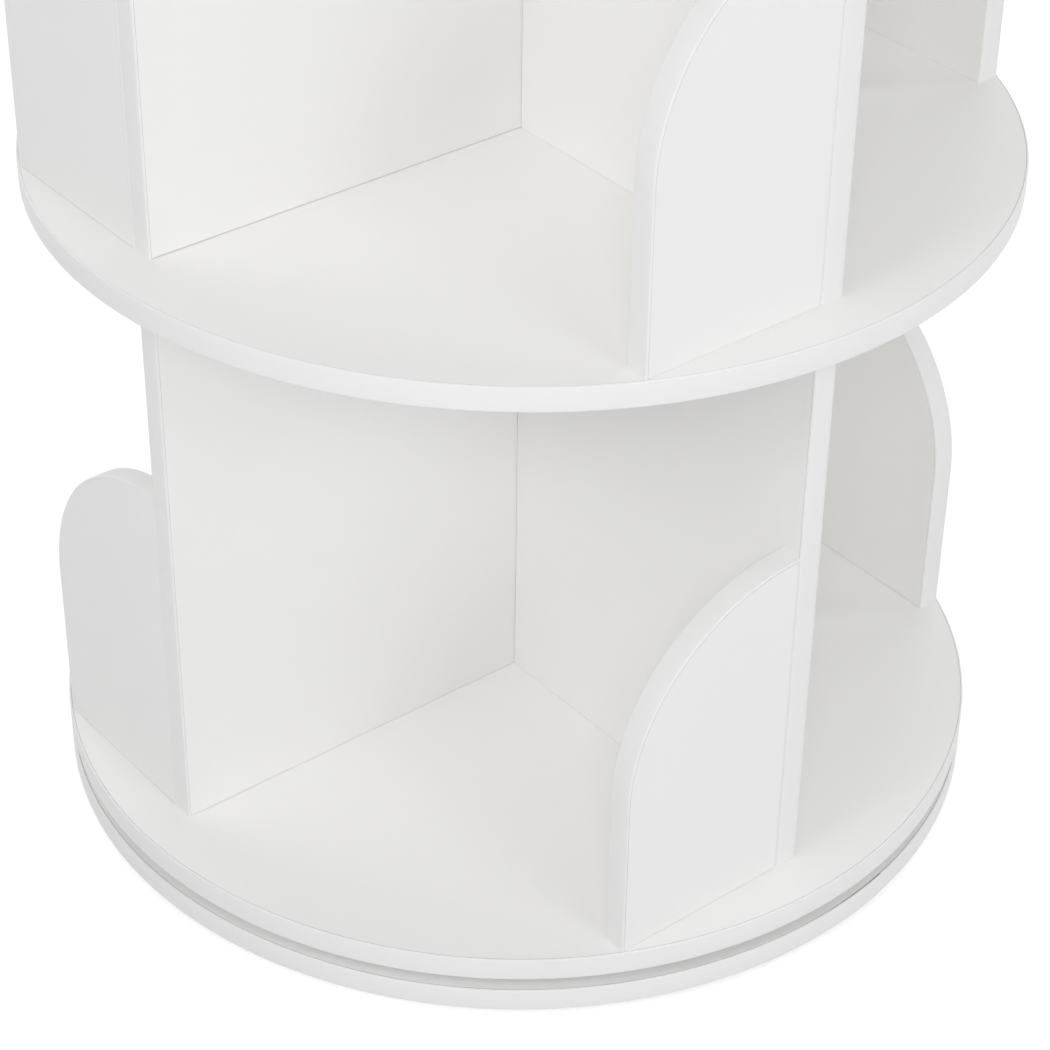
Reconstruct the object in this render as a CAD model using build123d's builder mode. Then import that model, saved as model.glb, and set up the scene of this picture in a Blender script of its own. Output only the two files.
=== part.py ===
from build123d import *
from math import radians, sqrt, tan
import os

# Rotating bookshelf: a round, two-tier book tower of white boards that turns on a ball
# bearing above its own base board. Millimetres, +Z up, Z = 0 where the foot pads meet the
# floor, and the Z axis is the axis that the tower turns on.

small_sides = 8             # small round pieces and their holes are drawn with few faces

# Boards
board = 12.0                # thickness of every board
shelf_diameter = 460.0      # base, shelves and top board are discs of one size
tier_height = 296.0         # clear height between two shelves
slot_clearance = 0.1        # each side of the halved joint where two dividers cross

# Arched end panels: an upright free edge with a quarter circle on top of it
arch_width = 95.0           # from the divider's face to the free edge, and the arch's radius
arch_upright = 84.0         # height of the straight part of the free edge
rim_margin = 1.0            # from the panel's outer bottom corner to the shelf's rim

# Foot pads under the base board
pad_count = 4
pad_diameter = 30.0
pad_height = 3.0
pad_inset = 35.0            # from the rim to a pad's centre

# Ball bearing between the base board and the lower shelf
bearing_diameter = 300.0    # outside of the outer ring
ring_width = 14.0           # radial width of each ring
race_gap = 2.0              # radial gap between the two rings
race_land = 0.6             # height of the narrow land beside each groove
ring_lift = 1.0             # each ring stays this far from the board that turns over it
ball_count = 12
ball_diameter = 4.0
ball_clearance = 0.05       # from a ball to its groove
pocket_clearance = 0.15     # from a ball to its pocket in the cage
cage_side_gap = 0.4         # from the cage to the lands of the rings
cage_end_gap = 0.6          # from the cage to the boards over and under it

# Fasteners
screw_clearance = 0.1       # all round a screw or a dowel in its hole
countersink = 45.0          # slope of a screw head's cone, in degrees
wood_screw_diameter = 4.0
wood_screw_head = 8.0
wood_screw_length = 40.0
divider_screw_inset = 36.0  # from a divider's end to its screw
arch_screw_inset = 25.0     # from an arched panel's free edge to its screw
ring_screw_count = 4
ring_screw_diameter = 4.0
ring_screw_head = 7.5
outer_ring_bite = 4.0       # length of a screw in the outer ring's thread
inner_ring_bite = 8.0       # length of a screw in the lower shelf
dowel_diameter = 6.0
dowel_length = 24.0
dowel_depth = 8.0           # length of a dowel in the face of a board
divider_dowel_inset = 85.0  # from a divider's end to the dowel under it
arch_dowel_drop = 50.0      # from an arched panel's top to its dowel
cap_diameter = 14.0
cap_height = 2.0            # and the depth of the recess that a cap lies flush in

# Sizes that follow
shelf_radius = shelf_diameter / 2
arch_reach = board / 2 + arch_width
arch_height = arch_upright + arch_width
divider_reach = sqrt((shelf_radius - rim_margin) ** 2 - arch_reach**2)
panel_reach = divider_reach - board / 2

ball_radius = ball_diameter / 2
groove_depth = (ball_radius + ball_clearance) * sqrt(2) - race_gap / 2
ring_height = 2 * (groove_depth + race_land) + ring_lift
bearing_height = ring_height + ring_lift
outer_race_radius = bearing_diameter / 2 - ring_width
ball_pitch_radius = outer_race_radius - race_gap / 2
inner_race_radius = outer_race_radius - race_gap
outer_screw_radius = outer_race_radius + ring_width / 2
inner_screw_radius = inner_race_radius - ring_width / 2
cage_thickness = race_gap - 2 * cage_side_gap
cage_height = bearing_height - 2 * cage_end_gap

# Levels, from the floor up
base_z = pad_height
bearing_z = base_z + board
ball_z = bearing_z + bearing_height / 2
lower_shelf_z = bearing_z + bearing_height
tier_1_z = lower_shelf_z + board
middle_shelf_z = tier_1_z + tier_height
tier_2_z = middle_shelf_z + board
top_board_z = tier_2_z + tier_height
top_z = top_board_z + board

# The four arms of the crossed dividers. Each carries one arched panel, on its clockwise side.
arm_turns = {"right": 0, "back": 90, "left": 180, "front": 270}
between_arms = 45


def on_each_arm(reach, sideways, height):
    """One place on every arm, given on the arm that points along +X."""
    place = Location((reach, sideways, height))
    return [Location((0, 0, 0), (0, 0, turn)) * place for turn in arm_turns.values()]


def screw_form(diameter, head, length, clearance=0.0):
    """A countersunk screw that points up, with its head flush at Z = 0, or its hole."""
    shank_radius = diameter / 2 + clearance
    head_radius = head / 2 + clearance
    head_height = (head_radius - shank_radius) / tan(radians(countersink))
    with BuildPart() as form:
        with BuildSketch():
            RegularPolygon(shank_radius, small_sides, major_radius=False)
        extrude(amount=length + clearance)
        with BuildSketch():
            RegularPolygon(head_radius, small_sides, major_radius=False)
        extrude(amount=head_height, taper=countersink)
    return form.part


def dowel_form(clearance=0.0):
    """A dowel that points up from Z = 0, or its hole."""
    with BuildPart() as form:
        with BuildSketch(Plane.XY.offset(-clearance)):
            RegularPolygon(dowel_diameter / 2 + clearance, small_sides)
        extrude(amount=dowel_length + 2 * clearance)
    return form.part


def cap_form(clearance=0.0):
    """A flat cap that lies on Z = 0, or its recess."""
    with BuildPart() as form:
        with BuildSketch():
            RegularPolygon(cap_diameter / 2 + clearance, small_sides)
        extrude(amount=cap_height + clearance)
    return form.part


def drill(hole, places):
    """Cut the same hole at each of the places."""
    with Locations(*places):
        add(hole, mode=Mode.SUBTRACT)


def save(piece, name):
    piece.part.label = name
    export_step(piece.part, f"parts/{name}.step")


# Fastener forms: screws and dowels point up, and the ones driven from above are turned over
wood_screw = screw_form(wood_screw_diameter, wood_screw_head, wood_screw_length)
wood_screw_hole = screw_form(
    wood_screw_diameter, wood_screw_head, wood_screw_length, screw_clearance
)
wood_screw_down = Rot(180, 0, 0) * wood_screw
wood_screw_hole_down = Rot(180, 0, 0) * wood_screw_hole

outer_ring_screw_length = board + outer_ring_bite
outer_ring_screw = screw_form(ring_screw_diameter, ring_screw_head, outer_ring_screw_length)
outer_ring_screw_hole = screw_form(
    ring_screw_diameter, ring_screw_head, outer_ring_screw_length, screw_clearance
)
inner_ring_screw_length = ring_height + inner_ring_bite
inner_ring_screw = screw_form(ring_screw_diameter, ring_screw_head, inner_ring_screw_length)
inner_ring_screw_hole = screw_form(
    ring_screw_diameter, ring_screw_head, inner_ring_screw_length, screw_clearance
)

dowel = dowel_form()
dowel_hole = dowel_form(screw_clearance)
side_dowel = Rot(90, 0, 0) * dowel
side_dowel_hole = Rot(90, 0, 0) * dowel_hole
cap = cap_form()
cap_recess = cap_form(screw_clearance)

# Fastener places
divider_screw_reach = divider_reach - divider_screw_inset
arch_screw_side = arch_screw_inset - arch_reach
lower_divider_screw_places = on_each_arm(divider_screw_reach, 0, lower_shelf_z)
lower_arch_screw_places = on_each_arm(panel_reach, arch_screw_side, lower_shelf_z)
middle_divider_screw_places = on_each_arm(divider_screw_reach, 0, tier_2_z)
middle_arch_screw_places = on_each_arm(panel_reach, arch_screw_side, middle_shelf_z)
top_screw_places = on_each_arm(divider_screw_reach, 0, top_z - cap_height)
divider_dowel_reach = divider_reach - divider_dowel_inset
divider_dowel_places = on_each_arm(divider_dowel_reach, 0, tier_2_z - dowel_depth)
with Locations((0, 0, base_z)):
    outer_circle = PolarLocations(outer_screw_radius, ring_screw_count)
with Locations((0, 0, bearing_z + ring_lift)):
    inner_circle = PolarLocations(inner_screw_radius, ring_screw_count, between_arms)
outer_ring_screw_places = outer_circle.locations
inner_ring_screw_places = inner_circle.locations


def arch_dowel_places(floor_z):
    """A dowel from each arm's clockwise face into the edge of its arched panel."""
    height = floor_z + arch_height - arch_dowel_drop
    return on_each_arm(panel_reach, dowel_depth - board / 2, height)


os.makedirs("parts", exist_ok=True)

# Foot pads: soft discs stuck under the base board near its rim
with BuildPart() as foot_pads:
    with BuildSketch():
        with PolarLocations(shelf_radius - pad_inset, pad_count, between_arms):
            RegularPolygon(pad_diameter / 2, small_sides)
    extrude(amount=pad_height)
save(foot_pads, "foot_pads")

# Base board: stays on the floor and carries the bearing's outer ring
with BuildPart() as base_board:
    with BuildSketch(Plane.XY.offset(base_z)):
        Circle(shelf_radius)
    extrude(amount=board)
    drill(outer_ring_screw_hole, outer_ring_screw_places)
save(base_board, "base_board")

# Outer ring: screwed to the base board from beneath, with a V-groove on its inner side
with BuildPart() as outer_ring:
    with BuildSketch(Plane.XZ):
        with BuildLine():
            Polyline(
                (outer_race_radius + ring_width, bearing_z),
                (outer_race_radius + ring_width, bearing_z + ring_height),
                (outer_race_radius, bearing_z + ring_height),
                (outer_race_radius, ball_z + groove_depth),
                (outer_race_radius + groove_depth, ball_z),
                (outer_race_radius, ball_z - groove_depth),
                (outer_race_radius, bearing_z),
                close=True,
            )
        make_face()
    revolve(axis=Axis.Z)
    drill(outer_ring_screw_hole, outer_ring_screw_places)
save(outer_ring, "bearing_outer_ring")

with BuildPart() as outer_ring_screws:
    with Locations(*outer_ring_screw_places):
        add(outer_ring_screw)
save(outer_ring_screws, "outer_ring_screws")

# Balls and cage: the balls roll in both grooves, and the comb-shaped cage spaces them out.
# A ball is drawn as a cube with its edges cut off, so that its flats face the grooves.
with BuildPart() as ball:
    Box(ball_diameter, ball_diameter, ball_diameter)
    for turns in ((45, 0, 0), (0, 45, 0), (0, 0, 45)):
        Box(ball_diameter, ball_diameter, ball_diameter, rotation=turns, mode=Mode.INTERSECT)

with BuildPart() as bearing_balls:
    with Locations((0, 0, ball_z)):
        with PolarLocations(ball_pitch_radius, ball_count):
            add(ball.part)
save(bearing_balls, "bearing_balls")

with BuildPart() as ball_cage:
    with BuildSketch(Plane.XY.offset(bearing_z + cage_end_gap)):
        Circle(ball_pitch_radius + cage_thickness / 2)
        Circle(ball_pitch_radius - cage_thickness / 2, mode=Mode.SUBTRACT)
    extrude(amount=cage_height)
    with BuildSketch(Plane.XY.offset(ball_z - ball_radius - pocket_clearance)):
        with PolarLocations(ball_pitch_radius, ball_count):
            Rectangle(2 * cage_thickness, ball_diameter + 2 * pocket_clearance)
    extrude(amount=cage_height, mode=Mode.SUBTRACT)
save(ball_cage, "ball_cage")

# Inner ring: the mirror of the outer one, screwed up into the lower shelf
with BuildPart() as inner_ring:
    with BuildSketch(Plane.XZ):
        with BuildLine():
            Polyline(
                (inner_race_radius - ring_width, lower_shelf_z),
                (inner_race_radius - ring_width, lower_shelf_z - ring_height),
                (inner_race_radius, lower_shelf_z - ring_height),
                (inner_race_radius, ball_z - groove_depth),
                (inner_race_radius - groove_depth, ball_z),
                (inner_race_radius, ball_z + groove_depth),
                (inner_race_radius, lower_shelf_z),
                close=True,
            )
        make_face()
    revolve(axis=Axis.Z)
    drill(inner_ring_screw_hole, inner_ring_screw_places)
save(inner_ring, "bearing_inner_ring")

with BuildPart() as inner_ring_screws:
    with Locations(*inner_ring_screw_places):
        add(inner_ring_screw)
save(inner_ring_screws, "inner_ring_screws")

# Lower shelf: turns on the bearing, and is screwed from beneath to what stands on it
with BuildPart() as lower_shelf:
    with BuildSketch(Plane.XY.offset(lower_shelf_z)):
        Circle(shelf_radius)
    extrude(amount=board)
    drill(inner_ring_screw_hole, inner_ring_screw_places)
    drill(wood_screw_hole, lower_divider_screw_places)
    drill(wood_screw_hole, lower_arch_screw_places)
save(lower_shelf, "lower_shelf")

with BuildPart() as lower_divider_screws:
    with Locations(*lower_divider_screw_places):
        add(wood_screw)
save(lower_divider_screws, "lower_shelf_divider_screws")

with BuildPart() as lower_arch_screws:
    with Locations(*lower_arch_screw_places):
        add(wood_screw)
save(lower_arch_screws, "lower_shelf_arch_screws")

# Middle shelf: screwed down on the lower dividers, under the upper dividers' edges
with BuildPart() as middle_shelf:
    with BuildSketch(Plane.XY.offset(middle_shelf_z)):
        Circle(shelf_radius)
    extrude(amount=board)
    drill(wood_screw_hole_down, middle_divider_screw_places)
    drill(wood_screw_hole, middle_arch_screw_places)
    drill(dowel_hole, divider_dowel_places)
save(middle_shelf, "middle_shelf")

with BuildPart() as middle_divider_screws:
    with Locations(*middle_divider_screw_places):
        add(wood_screw_down)
save(middle_divider_screws, "middle_shelf_divider_screws")

with BuildPart() as middle_arch_screws:
    with Locations(*middle_arch_screw_places):
        add(wood_screw)
save(middle_arch_screws, "middle_shelf_arch_screws")

with BuildPart() as divider_dowels:
    with Locations(*divider_dowel_places):
        add(dowel)
save(divider_dowels, "tier_2_divider_dowels")

# Two tiers, each of two dividers halved into each other and four arched panels
edge_holes = {
    "tier_1": [
        (wood_screw_hole, lower_divider_screw_places + lower_arch_screw_places),
        (wood_screw_hole_down, middle_divider_screw_places),
    ],
    "tier_2": [
        (wood_screw_hole, middle_arch_screw_places),
        (wood_screw_hole_down, top_screw_places),
        (dowel_hole, divider_dowel_places),
    ],
}
for tier, floor_z in (("tier_1", tier_1_z), ("tier_2", tier_2_z)):
    holes = edge_holes[tier] + [(side_dowel_hole, arch_dowel_places(floor_z))]
    half_height = tier_height / 2

    for name, turn, slot_z in (
        ("left_right", 0, floor_z + half_height),
        ("front_back", 90, floor_z),
    ):
        with BuildPart() as divider:
            with BuildSketch(Plane.XY.offset(floor_z)):
                Rectangle(2 * divider_reach, board, rotation=turn)
            extrude(amount=tier_height)
            with BuildSketch(Plane.XY.offset(slot_z)):
                Rectangle(board + 2 * slot_clearance, 2 * board, rotation=turn)
            extrude(amount=half_height, mode=Mode.SUBTRACT)
            for hole, places in holes:
                drill(hole, places)
        save(divider, f"{tier}_divider_{name}")

    for name, turn in arm_turns.items():
        outward = Vector(1, 0, 0).rotate(Axis.Z, turn)
        clockwise = Vector(0, -1, 0).rotate(Axis.Z, turn)
        foot = outward * divider_reach + Vector(0, 0, floor_z)
        with BuildPart() as arch_panel:
            with BuildSketch(Plane(foot, x_dir=clockwise, z_dir=-outward)):
                with BuildLine():
                    CenterArc((board / 2, arch_upright), arch_width, 0, 90)
                    Polyline(
                        (board / 2, arch_height),
                        (board / 2, 0),
                        (arch_reach, 0),
                        (arch_reach, arch_upright),
                    )
                make_face()
            extrude(amount=board)
            for hole, places in holes:
                drill(hole, places)
        save(arch_panel, f"{tier}_arch_{name}")

    with BuildPart() as arch_dowels:
        with Locations(*arch_dowel_places(floor_z)):
            add(side_dowel)
    save(arch_dowels, f"{tier}_arch_dowels")

# Top board: screwed down on the upper dividers, with a cap let in flush over each screw
with BuildPart() as top_board:
    with BuildSketch(Plane.XY.offset(top_board_z)):
        Circle(shelf_radius)
    extrude(amount=board)
    drill(wood_screw_hole_down, top_screw_places)
    drill(cap_recess, top_screw_places)
save(top_board, "top_board")

with BuildPart() as top_screws:
    with Locations(*top_screw_places):
        add(wood_screw_down)
save(top_screws, "top_board_screws")

with BuildPart() as screw_caps:
    with Locations(*top_screw_places):
        add(cap)
save(screw_caps, "screw_caps")
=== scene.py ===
import bmesh
import bpy
import math
from mathutils import Matrix, Vector


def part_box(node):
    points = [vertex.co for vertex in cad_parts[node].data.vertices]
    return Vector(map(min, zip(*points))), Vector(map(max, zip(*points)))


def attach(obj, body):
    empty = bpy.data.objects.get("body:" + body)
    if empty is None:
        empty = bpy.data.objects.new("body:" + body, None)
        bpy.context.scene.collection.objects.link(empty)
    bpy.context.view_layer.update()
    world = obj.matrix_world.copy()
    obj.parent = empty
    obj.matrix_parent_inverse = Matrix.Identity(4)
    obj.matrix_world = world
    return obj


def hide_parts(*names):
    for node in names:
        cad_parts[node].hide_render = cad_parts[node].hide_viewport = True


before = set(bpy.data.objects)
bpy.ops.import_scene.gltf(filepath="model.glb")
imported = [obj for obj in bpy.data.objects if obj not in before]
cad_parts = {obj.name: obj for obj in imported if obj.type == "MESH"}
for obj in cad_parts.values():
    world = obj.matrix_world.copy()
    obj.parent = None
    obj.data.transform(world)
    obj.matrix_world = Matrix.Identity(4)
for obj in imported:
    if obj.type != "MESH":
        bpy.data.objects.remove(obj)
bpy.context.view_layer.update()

# Foot pads: four discs of dark closed-cell foam, die-cut with a soft edge. They are stuck under
# the base board near its rim, keep it off the floor and carry the whole tower.
mm = 0.001
pad_low, pad_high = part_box("foot_pads")
pad_height = pad_high.z - pad_low.z
pad_radius = 15 * mm
pad_edge = 0.7 * mm
pad_reach = 195 * mm
pad_turn = math.radians(45)
round_share = 0.3


class Wire:
    """A socket in a node tree. Sums and products of wires add Math nodes to that tree."""

    def __init__(self, tree, socket=None):
        self.tree = tree
        self.socket = socket

    def node(self, kind, settings=None, sockets=None, out=0):
        """Add a node: its settings come first, then the values or links of its sockets."""
        node = self.tree.nodes.new(kind)
        for name, value in (settings or {}).items():
            setattr(node, name, value)
        for name, value in (sockets or {}).items():
            if isinstance(value, Wire):
                self.tree.links.new(value.socket, node.inputs[name])
            else:
                node.inputs[name].default_value = value
        return Wire(self.tree, node.outputs[out]) if node.outputs else None

    def math(self, operation, first, second):
        return self.node("ShaderNodeMath", {"operation": operation}, {0: first, 1: second})

    def __add__(self, other):
        return self.math("ADD", self, other)

    def __radd__(self, other):
        return self.math("ADD", other, self)

    def __sub__(self, other):
        return self.math("SUBTRACT", self, other)

    def __rsub__(self, other):
        return self.math("SUBTRACT", other, self)

    def __mul__(self, other):
        return self.math("MULTIPLY", self, other)

    def __rmul__(self, other):
        return self.math("MULTIPLY", other, self)

    def __truediv__(self, other):
        return self.math("DIVIDE", self, other)

    def __rtruediv__(self, other):
        return self.math("DIVIDE", other, self)

    def noise(self, scale, detail=2.0):
        """Noise from 0 to 1 at this place, with that many waves to the metre."""
        return self.node(
            "ShaderNodeTexNoise", {}, {"Vector": self, "Scale": scale, "Detail": detail}
        )

    def mix(self, none, full):
        """A colour from none, where this value is 0, to full, where it is 1."""
        factor, first, second, result = 0, 6, 7, 2
        sockets = {factor: self, first: (*none, 1), second: (*full, 1)}
        return self.node("ShaderNodeMix", {"data_type": "RGBA"}, sockets, result)

    def bump(self, depth, strength):
        """A normal for a surface that rises by this value times depth, in metres."""
        sockets = {"Height": self, "Distance": depth, "Strength": strength}
        return self.node("ShaderNodeBump", {}, sockets, "Normal")


def finish(name, even, vary):
    """A material: even values sit on the shader's sockets, and vary(place) wires the others."""
    material = bpy.data.materials.new(name)
    material.use_nodes = True
    material.node_tree.nodes.clear()
    start = Wire(material.node_tree)
    place = start.node("ShaderNodeTexCoord", out="Object")
    shader = start.node("ShaderNodeBsdfPrincipled", {}, {**even, **vary(place)})
    start.node("ShaderNodeOutputMaterial", {}, {"Surface": shader})
    return material


def foam(place):
    cells = place.node("ShaderNodeTexVoronoi", {}, {"Vector": place, "Scale": 2200.0}, "Distance")
    smudge = place.noise(90.0)
    return {
        "Base Color": smudge.mix((0.035, 0.035, 0.037), (0.06, 0.06, 0.062)),
        "Roughness": 0.82 + 0.12 * cells,
        "Normal": cells.bump(0.12 * mm, 0.6),
    }


def turned(name, profile, segments):
    """A form turned on a lathe from (radius, height) points. A radius may depend on the angle."""
    form = bmesh.new()
    angles = [2 * math.pi * i / segments for i in range(segments)]
    rings = []
    for radius, height in profile:
        if radius == 0:
            ring = [form.verts.new((0, 0, height))]
        else:
            reach = radius if callable(radius) else lambda angle, radius=radius: radius
            ring = [
                form.verts.new((reach(a) * math.cos(a), reach(a) * math.sin(a), height))
                for a in angles
            ]
        rings.append(ring)
    for lower, upper in zip(rings, rings[1:]):
        for i in range(segments):
            j = (i + 1) % segments
            corners = (
                lower[i % len(lower)],
                lower[j % len(lower)],
                upper[j % len(upper)],
                upper[i % len(upper)],
            )
            form.faces.new(dict.fromkeys(corners))
    bmesh.ops.recalc_face_normals(form, faces=form.faces)
    mesh = bpy.data.meshes.new(name)
    form.to_mesh(mesh)
    form.free()
    return mesh


def begin_tree(name, **inputs):
    """A new geometry node tree. It returns a start for its nodes, and a wire for each input."""
    tree = bpy.data.node_groups.new(name, "GeometryNodeTree")
    for label, kind in inputs.items():
        tree.interface.new_socket(label, in_out="INPUT", socket_type="NodeSocket" + kind)
    tree.interface.new_socket("Geometry", in_out="OUTPUT", socket_type="NodeSocketGeometry")
    start = Wire(tree)
    return start, {label: start.node("NodeGroupInput", out=label) for label in inputs}


def end_tree(start, geometry, coat):
    """Make real faces of all copies, give them their finish, and return the finished tree."""
    whole = start.node("GeometryNodeRealizeInstances", {}, {"Geometry": geometry})
    coated = {"Geometry": whole, "Material": coat}
    start.node("NodeGroupOutput", {}, {0: start.node("GeometryNodeSetMaterial", {}, coated)})
    return start.tree


def circle_of_copies():
    """Geometry nodes that set copies of a form in a circle about the tower's axis."""
    start, given = begin_tree(
        "circle_of_copies",
        form="Object",
        count="Int",
        reach="Float",
        sideways="Float",
        height="Float",
        first_turn="Float",
        tilt="Float",
        finish="Material",
    )
    share = start.node("GeometryNodeInputIndex") / given["count"]
    turn = given["first_turn"] + share * 2 * math.pi
    spot = {"X": given["reach"], "Y": given["sideways"], "Z": given["height"]}
    place = start.node(
        "ShaderNodeVectorRotate",
        {"rotation_type": "Z_AXIS"},
        {"Vector": start.node("ShaderNodeCombineXYZ", {}, spot), "Angle": turn},
    )
    points = start.node("GeometryNodePoints", {}, {"Count": given["count"], "Position": place})
    form = start.node("GeometryNodeObjectInfo", {}, {"Object": given["form"]}, "Geometry")
    stance = start.node("ShaderNodeCombineXYZ", {}, {"X": given["tilt"], "Z": turn})
    copies = start.node(
        "GeometryNodeInstanceOnPoints",
        {},
        {"Points": points, "Instance": form, "Rotation": stance},
    )
    return end_tree(start, copies, given["finish"])


def made_plain(holder, tree, smooth_below, **values):
    """Run a geometry node tree on an object, and return what it makes as a plain mesh object."""
    modifier = holder.modifiers.new("made", "NODES")
    modifier.node_group = tree
    for socket in tree.interface.items_tree:
        if socket.in_out == "INPUT" and socket.name in values:
            modifier[socket.identifier] = values[socket.name]
    bpy.context.scene.collection.objects.link(holder)
    graph = bpy.context.evaluated_depsgraph_get()
    mesh = bpy.data.meshes.new_from_object(holder.evaluated_get(graph))
    mesh.shade_smooth()
    mesh.set_sharp_from_angle(angle=math.radians(smooth_below))
    name = holder.name
    bpy.data.objects.remove(holder)
    piece = bpy.data.objects.new(name, mesh)
    bpy.context.scene.collection.objects.link(piece)
    return piece


def set_out(node, form, coat, slot, body, smooth_below=35, **values):
    """Copies of a form in a circle, in place of a node of the frame."""
    model = bpy.data.objects.new(node + "_form", form)
    holder = bpy.data.objects.new(node + "_set", bpy.data.meshes.new(node))
    piece = made_plain(holder, circle_tree, smooth_below, form=model, finish=coat, **values)
    bpy.data.objects.remove(model)
    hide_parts(node)
    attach(piece, body)


circle_tree = circle_of_copies()
pad_profile = [
    (0, 0),
    (pad_radius - pad_edge, 0),
    (pad_radius - round_share * pad_edge, round_share * pad_edge),
    (pad_radius, pad_edge),
    (pad_radius, pad_height),
    (0, pad_height),
]
set_out(
    "foot_pads",
    turned("foot_pad", pad_profile, segments=64),
    finish("pad_foam", {}, foam),
    "pad_foam",
    "base",
    count=4,
    reach=pad_reach,
    first_turn=pad_turn,
)

# Base board: a disc of 12 mm particle board faced with white melamine film, with a white plastic
# band glued round its rim and trimmed round. It stays on the floor and carries the bearing.
base_low, base_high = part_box("base_board")
board = base_high.z - base_low.z
shelf_radius = max(v.co.xy.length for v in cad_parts["base_board"].data.vertices)
band = 1.0 * mm
band_corner = 0.8 * mm
glue_line = 0.07 * mm
raw_edge = 0.1 * mm
# Painted shade in the glue lines: how grey they are, from 0 (none) to 1.
usual_seam_shade = 0.75
rim_steps = 360
butt_gap = 0.05 * mm
lift_run = 50 * mm
screw_gap = 0.1 * mm
hole_steps = 48


def melamine(place):
    """White film with a fine pearl texture, very slightly uneven in tone."""
    cloud = place.noise(7.0)
    pearl = place.noise(2600.0, 1.0)
    return {
        "Base Color": (0.7 * cloud + 0.3 * pearl).mix((0.886, 0.881, 0.867), (0.902, 0.898, 0.885)),
        "Roughness": 0.48 + 0.1 * pearl,
        "Normal": pearl.bump(0.02 * mm, 0.35),
    }


def band_plastic(place):
    """White plastic strip, a little greyer and smoother than the film, with faint draw marks."""
    marks = place.node("ShaderNodeMapping", {}, {"Vector": place, "Scale": (1, 1, 40)}).noise(60.0)
    speck = place.noise(1500.0, 1.0)
    return {
        "Base Color": speck.mix((0.862, 0.858, 0.847), (0.876, 0.872, 0.862)),
        "Roughness": 0.44 + 0.12 * marks,
        "Normal": speck.bump(0.012 * mm, 0.3),
    }


def raw_chipboard(place):
    """Sawn particle board: pressed flakes of pale wood in many tones."""
    flakes = place.node("ShaderNodeTexVoronoi", {}, {"Vector": place, "Scale": 900.0}, "Color")
    tone = place.node("ShaderNodeSeparateColor", {}, {"Color": flakes}, "Red")
    return {
        "Base Color": tone.mix((0.24, 0.16, 0.09), (0.62, 0.48, 0.32)),
        "Roughness": 0.85 + 0.1 * tone,
        "Normal": tone.bump(0.1 * mm, 0.5),
    }


def hot_glue(place):
    """Glue in the line between board and band, greyed by each board's painted shade for its seam.
    """
    patch = place.noise(45.0)
    # Painted shade: how grey this board's seams are painted, patchy along them.
    dust = place.node("ShaderNodeAttribute", {"attribute_name": "dust"}, out="Fac")
    return {
        "Base Color": (dust * (patch + 0.35)).mix((0.84, 0.835, 0.82), (0.16, 0.155, 0.15)),
        "Roughness": 0.7 + 0.2 * patch,
    }


white_film = finish("white_melamine_film", {"Specular IOR Level": 0.3}, melamine)
white_band = finish("white_edge_band", {"Specular IOR Level": 0.3}, band_plastic)
chipboard = finish("raw_chipboard", {}, raw_chipboard)
glue = finish("hot_glue", {}, hot_glue)


def drawn_in(outline, distance):
    """A closed outline, drawn anticlockwise, moved in by the same distance all round."""
    moved = []
    for before, at, after in zip(outline[-1:] + outline, outline, outline[1:] + outline[:1]):
        into = (at - before).normalized()
        away = (after - at).normalized()
        left = Vector((-into.y - away.y, into.x + away.x))
        moved.append(at + left * (distance / (1 + into.dot(away))))
    return moved


def circle(radius, steps, centre=(0, 0)):
    angles = [2 * math.pi * i / steps for i in range(steps)]
    return [Vector((radius * math.cos(a), radius * math.sin(a))) + Vector(centre) for a in angles]


def sawn_board(name, outline, holes, dust):
    """A board lying flat about Z = 0: two filmed faces, raw edges, and holes drilled in it.

    A hole is its centre and a wall of (radius, height) points, from one face inwards. A wall
    that stops short of the other face ends in a floor. Seam shade is how grey its glue lines
    are painted, as shade in the seam.
    """
    sawn = bmesh.new()
    half = board / 2
    rims = {half: [], -half: []}
    raw, glued = 1, 2

    def ring(points, height):
        loop = [sawn.verts.new((*p, height)) for p in points]
        if height in rims:
            rims[height] += [sawn.edges.new(pair) for pair in zip(loop, loop[1:] + loop[:1])]
        return loop

    def wall(first, second, coat):
        for i in range(len(first)):
            corners = (first[i - 1], first[i], second[i], second[i - 1])
            sawn.faces.new(corners).material_index = coat

    # The eased corners along the seam take the glue coat, whose grey is painted shade in the seam.
    eased = drawn_in(outline, raw_edge)
    upper, lower = ring(outline, half - raw_edge), ring(outline, raw_edge - half)
    wall(ring(eased, half), upper, glued)
    wall(upper, lower, raw)
    wall(lower, ring(eased, -half), glued)
    for centre, profile in holes:
        loops = [ring(circle(r, hole_steps, centre), height) for r, height in profile]
        for first, second in zip(loops, loops[1:]):
            wall(first, second, raw)
        if abs(profile[-1][1]) < half:
            sawn.faces.new(loops[-1]).material_index = raw
    for height, edges in rims.items():
        bmesh.ops.triangle_fill(sawn, edges=edges, use_beauty=True, normal=(0, 0, height))
    bmesh.ops.recalc_face_normals(sawn, faces=sawn.faces)
    mesh = bpy.data.meshes.new(name)
    sawn.to_mesh(mesh)
    sawn.free()
    for coat in (white_film, chipboard, glue):
        mesh.materials.append(coat)
    # How much painted shade the glue lines get, the same over the whole board.
    seam_shading = mesh.attributes.new("dust", "FLOAT", "POINT")
    seam_shading.data.foreach_set("value", [dust] * len(mesh.vertices))
    return mesh


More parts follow.
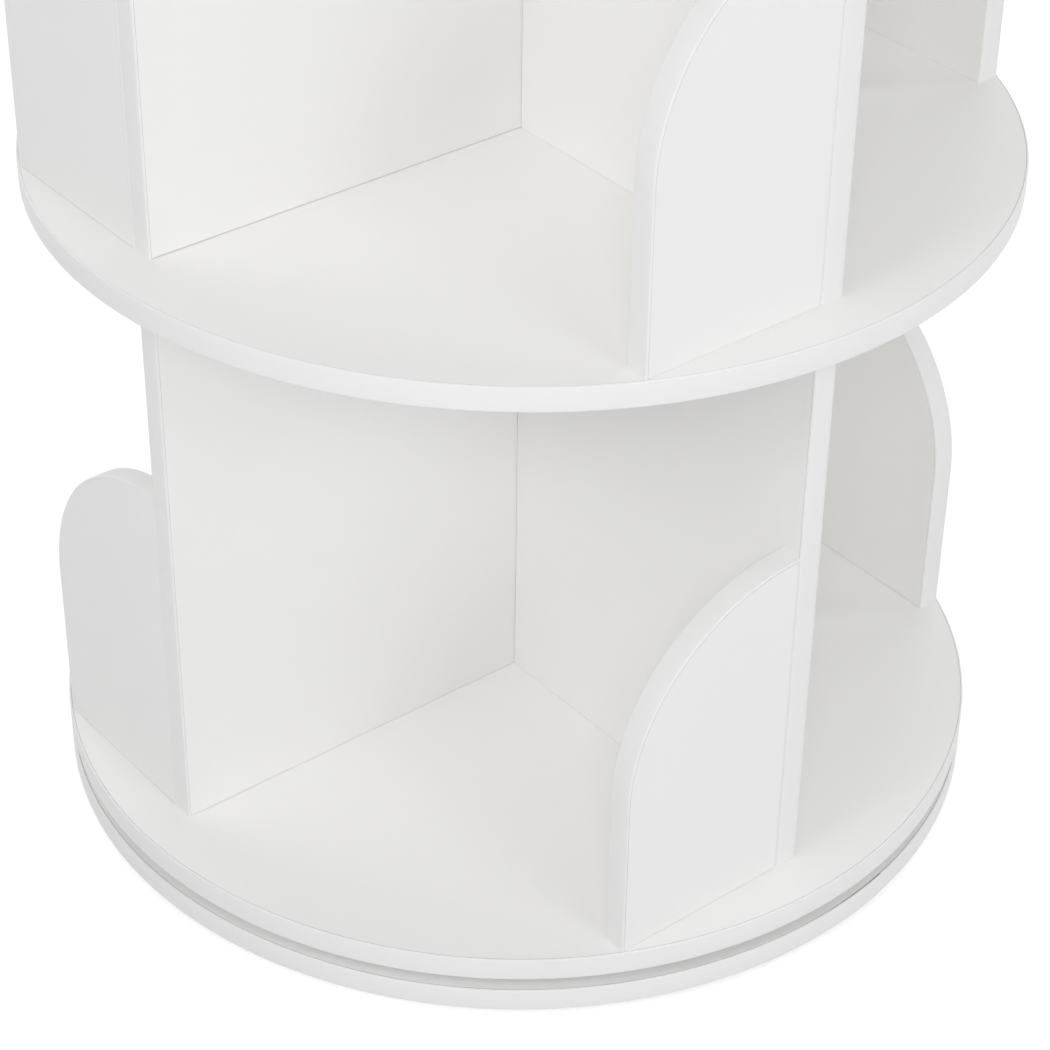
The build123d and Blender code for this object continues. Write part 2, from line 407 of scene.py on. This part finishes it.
def band_along_edge():
    """Geometry nodes that sweep an edge band along a board's outline, which lies flat."""
    start, given = begin_tree(
        "band_along_edge",
        outline="Geometry",
        width="Float",
        thickness="Float",
        corner="Float",
        glue_line="Float",
        finish="Material",
    )
    strip = start.node(
        "GeometryNodeCurvePrimitiveQuadrilateral",
        {"mode": "RECTANGLE"},
        {"Width": given["thickness"], "Height": given["width"]},
    )
    across = start.node(
        "ShaderNodeSeparateXYZ", {}, {"Vector": start.node("GeometryNodeInputPosition")}, "X"
    )
    outer = across.math("GREATER_THAN", across, 0.0)
    rounding = outer * given["corner"] + (1 - outer) * given["glue_line"]
    strip = start.node(
        "GeometryNodeFilletCurve",
        {"mode": "POLY"},
        {"Curve": strip, "Radius": rounding, "Count": 5},
    )
    shift = start.node("ShaderNodeCombineXYZ", {}, {"X": given["thickness"] * -0.5})
    strip = start.node("GeometryNodeTransform", {}, {"Geometry": strip, "Translation": shift})
    swept = start.node(
        "GeometryNodeCurveToMesh",
        {},
        {"Curve": given["outline"], "Profile Curve": strip, "Fill Caps": True},
    )
    return end_tree(start, swept, given["finish"])


def edge_band(name, runs):
    """Bands along runs of a flat board's outline, drawn anticlockwise round the board."""
    path = bpy.data.curves.new(name, "CURVE")
    path.dimensions = "3D"
    path.twist_mode = "Z_UP"
    for run in runs:
        line = path.splines.new("POLY")
        line.points.add(len(run) - 1)
        for point, at in zip(line.points, run):
            point.co = (*at, 0, 1)
    return made_plain(
        bpy.data.objects.new(name, path),
        band_tree,
        smooth_below=30,
        width=board,
        thickness=band,
        corner=band_corner,
        glue_line=glue_line,
        finish=white_band,
    )


def put_board(node, body, place, outline, band_runs, holes=(), dust=usual_seam_shade):
    """A board and its edge band, made flat, put in the place of a node of the frame."""
    core = bpy.data.objects.new(node + "_core", sawn_board(node, outline, holes, dust))
    bpy.context.scene.collection.objects.link(core)
    strip = edge_band(node + "_edge_band", band_runs)
    for piece in (core, strip):
        piece.data.transform(place)
        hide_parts(node)
        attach(piece, body)


def put_disc(node, body, butt_angle, holes, seam=0.0, shift=(0, 0), lift=0.0, dust=usual_seam_shade):
    """A round shelf. Its band's ends meet in a butt joint, where the last end may lift a little.

    The seam is how far the board falls short of the band, and shift how far off centre it sits.
    """
    low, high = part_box(node)
    centre_height = (low.z + high.z) / 2
    gap_turn = butt_gap / shelf_radius
    sweep = 2 * math.pi - 2 * gap_turn
    rim = []
    for i in range(rim_steps + 1):
        angle = butt_angle + gap_turn + sweep * i / rim_steps
        to_end = sweep * (rim_steps - i) / rim_steps * shelf_radius
        radius = shelf_radius + lift * max(0, 1 - to_end / lift_run)
        rim.append(Vector((radius * math.cos(angle), radius * math.sin(angle))))
    outline = circle(shelf_radius - band - seam, rim_steps, shift)
    put_board(node, body, Matrix.Translation((0, 0, centre_height)), outline, [rim], holes, dust)


def on_each_arm(reach, sideways=0.0, first_turn=0.0):
    """The same place on each of the four arms, seen from above."""
    spots = []
    for quarter in range(4):
        turn = Matrix.Rotation(first_turn + quarter * math.pi / 2, 2)
        spots.append(turn @ Vector((reach, sideways)))
    return spots


def countersunk(head, shank, side):
    """The wall of a through hole with room for a screw's head at one face, up (1) or down (-1)."""
    half = board / 2
    mouth = head / 2 + screw_gap
    bore = shank / 2 + screw_gap
    return [(mouth, side * half), (bore, side * (half - mouth + bore)), (bore, -side * half)]


band_tree = band_along_edge()
ring_screw_head = 7.5 * mm
ring_screw_shank = 4.0 * mm
outer_ring_screw_reach = 143 * mm
base_holes = [
    (spot, countersunk(ring_screw_head, ring_screw_shank, -1))
    for spot in on_each_arm(outer_ring_screw_reach)
]
base_butt_angle = math.radians(-78.4)
base_band_lift = 0.28 * mm
base_seam = 0.1 * mm
put_disc("base_board", "base", base_butt_angle, base_holes, base_seam, lift=base_band_lift)

# Ring screws: countersunk steel screws with a cross drive, plated with bright zinc. They hold the
# outer ring from beneath the base board, and the inner ring up against the lower shelf.
thread_pitch = 1.8 * mm
thread_depth = 0.45 * mm
thread_steps = 14
drive_arm = 2.0 * mm
drive_slot = 0.5 * mm
drive_depth = 1.6 * mm


def zinc_plate(place):
    cloud = place.noise(260.0)
    grain = place.noise(3000.0, 1.0)
    return {
        "Base Color": cloud.mix((0.60, 0.61, 0.64), (0.72, 0.72, 0.73)),
        "Roughness": 0.24 + 0.14 * grain,
        "Normal": grain.bump(0.01 * mm, 0.3),
    }


def cross_drive(scale):
    """The outline of a cross-shaped recess, as a radius for each angle."""
    arm, slot = drive_arm * scale, drive_slot * scale

    def radius(angle):
        along, across = abs(math.cos(angle)) + 1e-9, abs(math.sin(angle)) + 1e-9
        return max(min(arm / along, slot / across), min(slot / along, arm / across))

    return radius


def add_thread(screw, root, start, end):
    """A thread wound round a screw's shank: a ridge of three sides along a helix."""
    turns = (end - start) / thread_pitch
    count = int(turns * thread_steps)
    valley = 0.97 * root
    flank = 0.3 * thread_pitch
    last_share = 0.05
    thread = bmesh.new()
    thread.from_mesh(screw)
    sections = []
    for i in range(count + 1):
        angle = 2 * math.pi * i / thread_steps
        fade = min(1, i / thread_steps, (count - i) / thread_steps + last_share)
        height = start + thread_pitch * i / thread_steps
        corners = (
            (valley, height - flank),
            (root + thread_depth * fade, height),
            (valley, height + flank),
        )
        sections.append(
            [thread.verts.new((r * math.cos(angle), r * math.sin(angle), z)) for r, z in corners]
        )
    for before, after in zip(sections, sections[1:]):
        for k in range(len(before)):
            thread.faces.new((before[k - 1], before[k], after[k], after[k - 1]))
    thread.faces.new(sections[0])
    thread.faces.new(sections[-1])
    bmesh.ops.recalc_face_normals(thread, faces=thread.faces)
    thread.to_mesh(screw)
    thread.free()


def countersunk_screw(name, head, shank, length):
    """A screw that points up, with its head's face at Z = 0."""
    drive_edge = 0.05 * mm
    head_edge = 0.1 * mm
    rim = 0.25 * mm
    neck = 0.3 * mm
    plain_shank = 2 * mm
    tip = 4 * mm
    root = shank / 2 - thread_depth
    cone_end = rim + head / 2 - root
    profile = [
        (0, drive_depth),
        (cross_drive(0.45), drive_depth),
        (cross_drive(1.0), drive_edge),
        (cross_drive(1.08), 0),
        (head / 2 - head_edge, 0),
        (head / 2, head_edge),
        (head / 2, rim),
        (root + neck, cone_end - neck),
        (root, cone_end + 2 * neck),
        (root, length - tip),
        (0, length),
    ]
    screw = turned(name, profile, segments=72)
    add_thread(screw, root, head / 2 + plain_shank, length - tip)
    return screw


bright_zinc = finish("bright_zinc_plate", {"Metallic": 1.0}, zinc_plate)
outer_ring_screw_length = 16 * mm
set_out(
    "outer_ring_screws",
    countersunk_screw("ring_screw", ring_screw_head, ring_screw_shank, outer_ring_screw_length),
    bright_zinc,
    "zinc_steel",
    "base",
    count=4,
    reach=outer_ring_screw_reach,
    height=base_low.z,
)

# Ring bearing: two aluminium rings with V-grooves, turned and left satin, with steel balls that
# run between them in a comb of nylon. The balls and the comb roll round at half the tower's speed.
ball_radius = 2.0 * mm
ball_pitch = 135 * mm
ball_count = 12
ball_steps = 16


def turned_aluminium(place):
    """Fine turning marks that run round the axis."""
    x, y, z = (place.node("ShaderNodeSeparateXYZ", {}, {"Vector": place}, axis) for axis in "XYZ")
    squared = x * x + y * y
    reach = squared.math("POWER", squared, 0.5)
    across = place.node("ShaderNodeCombineXYZ", {}, {"X": reach, "Y": z})
    marks = across.noise(3500.0)
    return {
        "Base Color": marks.mix((0.62, 0.63, 0.64), (0.78, 0.79, 0.80)),
        "Roughness": 0.28 + 0.2 * marks,
        "Normal": marks.bump(0.02 * mm, 0.4),
    }


def nylon(place):
    flow = place.noise(120.0)
    return {
        "Base Color": flow.mix((0.68, 0.66, 0.58), (0.75, 0.73, 0.66)),
        "Roughness": 0.45 + 0.1 * flow,
        "Normal": place.noise(1800.0, 1.0).bump(0.01 * mm, 0.3),
    }


def polished_steel(place):
    haze = place.noise(500.0)
    return {
        "Base Color": haze.mix((0.66, 0.66, 0.67), (0.74, 0.74, 0.75)),
        "Roughness": 0.1 + 0.08 * haze,
    }


def coat_node(node, coat):
    """Give a node of the frame its finish."""
    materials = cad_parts[node].data.materials
    materials.clear()
    materials.append(coat)


satin_aluminium = finish("turned_aluminium", {"Metallic": 1.0}, turned_aluminium)
coat_node("bearing_outer_ring", satin_aluminium)
coat_node("bearing_inner_ring", satin_aluminium)
coat_node("ball_cage", finish("cage_nylon", {}, nylon))
ring_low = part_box("bearing_outer_ring")[0]
lower_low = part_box("lower_shelf")[0]
ball_arc = [math.pi * i / ball_steps for i in range(1, ball_steps)]
ball_profile = [(ball_radius * math.sin(a), -ball_radius * math.cos(a)) for a in ball_arc]
set_out(
    "bearing_balls",
    turned("ball", [(0, -ball_radius), *ball_profile, (0, ball_radius)], segments=32),
    finish("ball_steel", {"Metallic": 1.0}, polished_steel),
    "ball_steel",
    "rolling_cage",
    smooth_below=80,
    count=ball_count,
    reach=ball_pitch,
    height=(ring_low.z + lower_low.z) / 2,
)
inner_ring_screw_reach = 127 * mm
inner_ring_screw_turn = math.radians(45)
inner_ring_screw_length = 14 * mm
set_out(
    "inner_ring_screws",
    countersunk_screw("ring_screw", ring_screw_head, ring_screw_shank, inner_ring_screw_length),
    bright_zinc,
    "zinc_steel",
    "tower",
    count=4,
    reach=inner_ring_screw_reach,
    first_turn=inner_ring_screw_turn,
    height=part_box("inner_ring_screws")[0].z,
)

# Lower shelf: the same disc again. It turns on the bearing, and long wood screws go up through
# it into the edges of the dividers and arched panels that stand on it.
wood_screw_head = 8.0 * mm
wood_screw_shank = 4.0 * mm
wood_screw_length = 40 * mm
arm_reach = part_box("tier_1_divider_left_right")[1].x
arch_low, arch_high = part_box("tier_1_arch_right")
divider_screw_reach = arm_reach - 36 * mm
arch_screw_reach = arm_reach - board / 2
arch_screw_side = arch_low.y + 25 * mm
pilot_depth = 8.2 * mm
wood_screw = countersunk_screw("wood_screw", wood_screw_head, wood_screw_shank, wood_screw_length)
screw_from_below = countersunk(wood_screw_head, wood_screw_shank, -1)
screw_from_above = countersunk(wood_screw_head, wood_screw_shank, 1)
pilot_radius = ring_screw_shank / 2 + screw_gap
pilot_hole = [(pilot_radius, -board / 2), (pilot_radius, pilot_depth - board / 2)]
divider_spots = on_each_arm(divider_screw_reach)
arch_spots = on_each_arm(arch_screw_reach, arch_screw_side)
ring_spots = on_each_arm(inner_ring_screw_reach, 0.0, inner_ring_screw_turn)
lower_holes = [(spot, screw_from_below) for spot in divider_spots + arch_spots]
lower_holes += [(spot, pilot_hole) for spot in ring_spots]
lower_butt_angle = math.radians(150)
lower_seam = 0.06 * mm
put_disc("lower_shelf", "tower", lower_butt_angle, lower_holes, lower_seam)


def set_wood_screws(node, height, tilt, reach, sideways=0.0):
    set_out(
        node,
        wood_screw,
        bright_zinc,
        "zinc_steel",
        "tower",
        count=4,
        reach=reach,
        sideways=sideways,
        height=height,
        tilt=tilt,
    )


head_down, head_up = 0.0, math.pi
set_wood_screws("lower_shelf_divider_screws", lower_low.z, head_down, divider_screw_reach)
set_wood_screws(
    "lower_shelf_arch_screws", lower_low.z, head_down, arch_screw_reach, arch_screw_side
)

# Lower tier: two dividers, each slotted to half its height and pushed into the other, with a band
# on both ends. An arched panel, banded along its free edge, stands on one side of each end, held
# by a dowel from the divider and a screw from beneath.
arch_width = arch_high.y - arch_low.y
arch_upright = arch_high.z - arch_low.z - arch_width
slot_gap = 0.1 * mm
arch_steps = 48
dowel_radius = 3.0 * mm
dowel_length = 24 * mm
dowel_depth = 8 * mm
dowel_chamfer = 0.8 * mm
flute_depth = 0.25 * mm
flute_count = 16
arch_dowel_drop = 50 * mm
front_back_gap = 0.05 * mm


def beech(place):
    """Turned beech: fine grain along the dowel and short dark flecks."""
    grain = place.node("ShaderNodeMapping", {}, {"Vector": place, "Scale": (1, 1, 0.15)})
    rings = grain.noise(900.0)
    flecks = grain.noise(3200.0, 1.0)
    return {
        "Base Color": (0.6 * rings + 0.4 * flecks).mix((0.40, 0.24, 0.12), (0.72, 0.52, 0.32)),
        "Roughness": 0.6 + 0.15 * rings,
        "Normal": flecks.bump(0.03 * mm, 0.4),
    }


def fluted(angle):
    return dowel_radius - flute_depth * (0.5 + 0.5 * math.cos(flute_count * angle))


def put_divider(node, turn, slot_from_top, foot_gap):
    """A divider, cut flat with its length along X and its height along Y, and stood up.

    It stands on its middle, and its first end may be cut a hair short, by foot_gap.
    """
    low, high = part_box(node)
    height = high.z - low.z
    end = arm_reach - band
    slot = board / 2 + slot_gap
    middle = height / 2
    if slot_from_top:
        corners = [(-end, foot_gap), (end, 0), (end, height), (slot, height)]
        corners += [(slot, middle), (-slot, middle), (-slot, height), (-end, height)]
    else:
        corners = [(-end, foot_gap), (-slot, 0), (-slot, middle), (slot, middle)]
        corners += [(slot, 0), (end, 0), (end, height), (-end, height)]
    ends = [
        [Vector((arm_reach, 0)), Vector((arm_reach, height))],
        [Vector((-arm_reach, height)), Vector((-arm_reach, 0))],
    ]
    stand = Matrix.Rotation(turn, 4, "Z") @ Matrix.Rotation(math.pi / 2, 4, "X")
    place = Matrix.Translation((0, 0, low.z)) @ stand
    put_board(node, "tower", place, [Vector(c) for c in corners], ends)


def put_arch(node, turn, foot_gap, dust):
    """An arched panel, cut flat with the divider's middle at X = 0, and stood up on its arm."""
    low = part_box(node)[0]
    inner = board / 2
    top = arch_upright + arch_width

    def curve(radius, reach):
        """A quarter turn that stops that far short of the divider."""
        steps = [math.acos(reach / radius) * i / arch_steps for i in range(arch_steps + 1)]
        spots = [(inner + radius * math.cos(a), arch_upright + radius * math.sin(a)) for a in steps]
        return [Vector(spot) for spot in spots]

    free_edge = [Vector((inner + arch_width, 0)), *curve(arch_width, 0)]
    divider_edge = [Vector((inner, top - band)), Vector((inner, 0))]
    foot = [Vector((inner + band, foot_gap)), Vector((inner + arch_width - band, foot_gap))]
    outline = foot + curve(arch_width - band, band)
    stand = Matrix.Rotation(-math.pi / 2, 4, "Z") @ Matrix.Rotation(math.pi / 2, 4, "X")
    arm = Matrix.Translation((arm_reach - board / 2, 0, low.z)) @ stand
    place = Matrix.Rotation(turn, 4, "Z") @ arm
    put_board(node, "tower", place, outline, [free_edge, divider_edge], dust=dust)


def put_tier(tier, left_right_gap, arches):
    """The dividers and arched panels of one tier, and the dowels between them.

    For each arm, arches gives how far the panel's foot stands off the shelf, and how grey its glue
    lines are painted as shade in the seams.
    """
    put_divider(tier + "_divider_left_right", 0.0, True, left_right_gap)
    put_divider(tier + "_divider_front_back", math.pi / 2, False, front_back_gap)
    for quarter, (arm, (foot_gap, dust)) in enumerate(arches.items()):
        put_arch(f"{tier}_arch_{arm}", quarter * math.pi / 2, foot_gap, dust)
    arch_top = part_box(tier + "_arch_right")[1].z
    set_out(
        tier + "_arch_dowels",
        dowel,
        raw_beech,
        "beech",
        "tower",
        count=4,
        reach=arch_screw_reach,
        sideways=dowel_depth - board / 2,
        height=arch_top - arch_dowel_drop,
        tilt=math.pi / 2,
    )


raw_beech = finish("raw_beech", {}, beech)
dowel_profile = [
    (0, 0),
    (dowel_radius - dowel_chamfer, 0),
    (fluted, dowel_chamfer),
    (fluted, dowel_length - dowel_chamfer),
    (dowel_radius - dowel_chamfer, dowel_length),
    (0, dowel_length),
]
dowel = turned("dowel", dowel_profile, segments=96)
lower_left_right_gap = 0.1 * mm
# For each arm: the foot's gap, and how grey its glue lines are painted as shade in the seams.
lower_arches = {
    "right": (0.1 * mm, 0.4),
    "back": (0.05 * mm, usual_seam_shade),
    "left": (0.13 * mm, 0.0),
    "front": (0.03 * mm, 1.0),
}
put_tier("tier_1", lower_left_right_gap, lower_arches)

# Middle shelf: a third disc, screwed down on the lower dividers. Screws from beneath hold the
# upper arched panels, and dowels locate the upper dividers, whose edges hide the screws. Its band
# is pulled tight on one side, and the seam opens on the other.
middle_low, middle_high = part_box("middle_shelf")
divider_dowel_reach = arm_reach - 85 * mm
dowel_bore = dowel_radius + screw_gap
dowel_hole = [(dowel_bore, board / 2), (dowel_bore, board / 2 - dowel_depth - screw_gap)]
middle_holes = [(spot, screw_from_above) for spot in divider_spots]
middle_holes += [(spot, screw_from_below) for spot in arch_spots]
middle_holes += [(spot, dowel_hole) for spot in on_each_arm(divider_dowel_reach)]
middle_seam = 0.05 * mm
middle_shift = (-0.039 * mm, 0.031 * mm)
middle_butt_angle = math.radians(80)
# Lighter painted shade in this shelf's glue lines.
middle_seam_shade = 0.4
put_disc(
    "middle_shelf",
    "tower",
    middle_butt_angle,
    middle_holes,
    middle_seam,
    middle_shift,
    dust=middle_seam_shade,
)
set_wood_screws("middle_shelf_divider_screws", middle_high.z, head_up, divider_screw_reach)
set_wood_screws(
    "middle_shelf_arch_screws", middle_low.z, head_down, arch_screw_reach, arch_screw_side
)
set_out(
    "tier_2_divider_dowels",
    dowel,
    raw_beech,
    "beech",
    "tower",
    count=4,
    reach=divider_dowel_reach,
    height=middle_high.z - dowel_depth,
)

# Upper tier: the same set of dividers and arched panels again. Its left-right divider is cut a
# little short at the left end, and a dark line shows there.
upper_left_right_gap = 0.18 * mm
# For each arm: the foot's gap, and how grey its glue lines are painted as shade in the seams.
upper_arches = {
    "right": (0.0, 0.1),
    "back": (0.0, usual_seam_shade),
    "left": (0.11 * mm, 0.2),
    "front": (0.0, 0.6),
}
put_tier("tier_2", upper_left_right_gap, upper_arches)

# Top board: a fourth disc, screwed down on the upper dividers. A white plastic cap is pressed
# into the recess over each screw, flush with the board.
top_butt_angle = math.radians(60)
cap_low, cap_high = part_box("screw_caps")
cap_radius = 7.0 * mm
cap_height = cap_high.z - cap_low.z
cap_edge = 0.3 * mm


def cap_plastic(place):
    flow = place.noise(150.0)
    skin = place.noise(1700.0, 1.0)
    return {
        "Base Color": flow.mix((0.855, 0.855, 0.85), (0.875, 0.875, 0.87)),
        "Roughness": 0.36 + 0.1 * skin,
        "Normal": skin.bump(0.015 * mm, 0.4),
    }


half = board / 2
seat = half - cap_height
recess = cap_radius + screw_gap
mouth = wood_screw_head / 2 + screw_gap
bore = wood_screw_shank / 2 + screw_gap
capped_hole = [
    (recess, half),
    (recess, seat),
    (mouth, seat),
    (bore, seat - mouth + bore),
    (bore, -half),
]
put_disc("top_board", "tower", top_butt_angle, [(spot, capped_hole) for spot in divider_spots])
set_wood_screws("top_board_screws", cap_low.z, head_up, divider_screw_reach)
cap_profile = [
    (0, 0),
    (cap_radius, 0),
    (cap_radius, cap_height - cap_edge),
    (cap_radius - round_share * cap_edge, cap_height - round_share * cap_edge),
    (cap_radius - cap_edge, cap_height),
    (0, cap_height),
]
set_out(
    "screw_caps",
    turned("screw_cap", cap_profile, segments=64),
    finish("cap_plastic", {}, cap_plastic),
    "cap_plastic",
    "tower",
    count=4,
    reach=divider_screw_reach,
    height=cap_low.z,
)

# Stage: a pale floor that fades into a white surround, soft lamps on all sides, and a camera where
# the photograph was taken from, looking down on the middle shelf. White boards pass light on many
# times, so it is followed for more bounces than usual.
scene = bpy.context.scene
scene.view_settings.view_transform = "Standard"
scene.cycles.diffuse_bounces = 12
floor_half = 12.0
floor_mesh = bpy.data.meshes.new("floor")
corners = [(-floor_half, -floor_half, 0), (floor_half, -floor_half, 0)]
corners += [(floor_half, floor_half, 0), (-floor_half, floor_half, 0)]
floor_mesh.from_pydata(corners, [], [(0, 1, 2, 3)])
floor = bpy.data.objects.new("floor", floor_mesh)
scene.collection.objects.link(floor)
floor_coat = bpy.data.materials.new("pale_floor")
floor_coat.use_nodes = True
floor_coat.node_tree.nodes.clear()
start = Wire(floor_coat.node_tree)
lit = start.node("ShaderNodeBsdfDiffuse", {}, {"Color": (0.8, 0.8, 0.8, 1)})


def shown_to_eye(start):
    """1 for rays that show the surround, straight or in metal and glass, and 0 for light."""
    kinds = ("Camera", "Glossy", "Transmission")
    rays = [start.node("ShaderNodeLightPath", out=f"Is {kind} Ray") for kind in kinds]
    most = rays[0].math("MAXIMUM", rays[0], rays[1])
    return most.math("MAXIMUM", most, rays[2])


place = start.node("ShaderNodeTexCoord", out="Object")
reach = start.node("ShaderNodeVectorMath", {"operation": "LENGTH"}, {0: place}, "Value")
near_reach, far_reach = 0.5, 3.0
near_glow, far_glow = 0.46, 0.78
fade = {"Value": reach, "From Min": near_reach, "From Max": far_reach}
fade.update({"To Min": near_glow, "To Max": far_glow})
floor_glow = start.node("ShaderNodeMapRange", {}, fade) * shown_to_eye(start)
glow = start.node("ShaderNodeEmission", {}, {"Color": (1, 1, 1, 1), "Strength": floor_glow})
both = start.node("ShaderNodeAddShader", {}, {0: lit, 1: glow})
start.node("ShaderNodeOutputMaterial", {}, {"Surface": both})
floor_mesh.materials.append(floor_coat)

surround = bpy.data.worlds.new("surround")
surround.use_nodes = True
surround.node_tree.nodes.clear()
start = Wire(surround.node_tree)
surround_light = 0.33
shown = shown_to_eye(start)
seen_or_lit = shown.math("MAXIMUM", shown, surround_light)
sky = start.node("ShaderNodeBackground", {}, {"Color": (1, 1, 1, 1), "Strength": seen_or_lit})
start.node("ShaderNodeOutputWorld", {}, {"Surface": sky})
scene.world = surround

lamp_aim = Vector((0, 0, 0.33))
lamp_distance = 2.2
lamp_colour = (0.976, 0.981, 1.0)
cool_colour = (0.955, 0.966, 1.0)
wide_box = 1.6
small_box = 0.5


def soft_lamp(name, azimuth, elevation, size, power, colour=lamp_colour):
    """A square soft box that faces the tower's middle from that side and height."""
    lamp = bpy.data.lights.new(name, "AREA")
    lamp.size = size
    lamp.energy = power
    lamp.color = colour
    holder = bpy.data.objects.new(name, lamp)
    turn, rise = math.radians(azimuth), math.radians(elevation)
    back = Vector((math.sin(turn), -math.cos(turn), 0)) * math.cos(rise)
    back.z = math.sin(rise)
    holder.location = lamp_aim + back * lamp_distance
    holder.rotation_euler = back.to_track_quat("Z", "Y").to_euler()
    scene.collection.objects.link(holder)


soft_lamp("back_left_lamp", -110, 20, wide_box, 1.5)
soft_lamp("left_high_lamp", -85, 45, wide_box, 8.0)
soft_lamp("left_lamp", -80, 30, small_box, 4.7)
soft_lamp("front_left_lamp", -40, 30, small_box, 8.6)
soft_lamp("front_high_lamp", 0, 30, small_box, 3.1)
soft_lamp("front_low_lamp", 0, 10, wide_box, 9.75, cool_colour)
soft_lamp("front_right_lamp", 60, 30, small_box, 4.7)
soft_lamp("right_lamp", 110, 15, wide_box, 13.4)
soft_lamp("back_lamp", 180, 15, small_box, 8.8)

view_turn = math.radians(-38.94)
view_offset = Vector((0.0035, -1.2062, 0.9605))
view_pitch = math.radians(35.04)
view_roll = math.radians(0.8)
camera = bpy.data.cameras.new("camera")
camera.sensor_width = 36.0
camera.lens = 100.44
viewer = bpy.data.objects.new("camera", camera)
viewer.matrix_world = (
    Matrix.Rotation(view_turn, 4, "Z")
    @ Matrix.Translation(view_offset)
    @ Matrix.Rotation(math.pi / 2 - view_pitch, 4, "X")
    @ Matrix.Rotation(view_roll, 4, "Z")
)
scene.collection.objects.link(viewer)
scene.camera = viewer
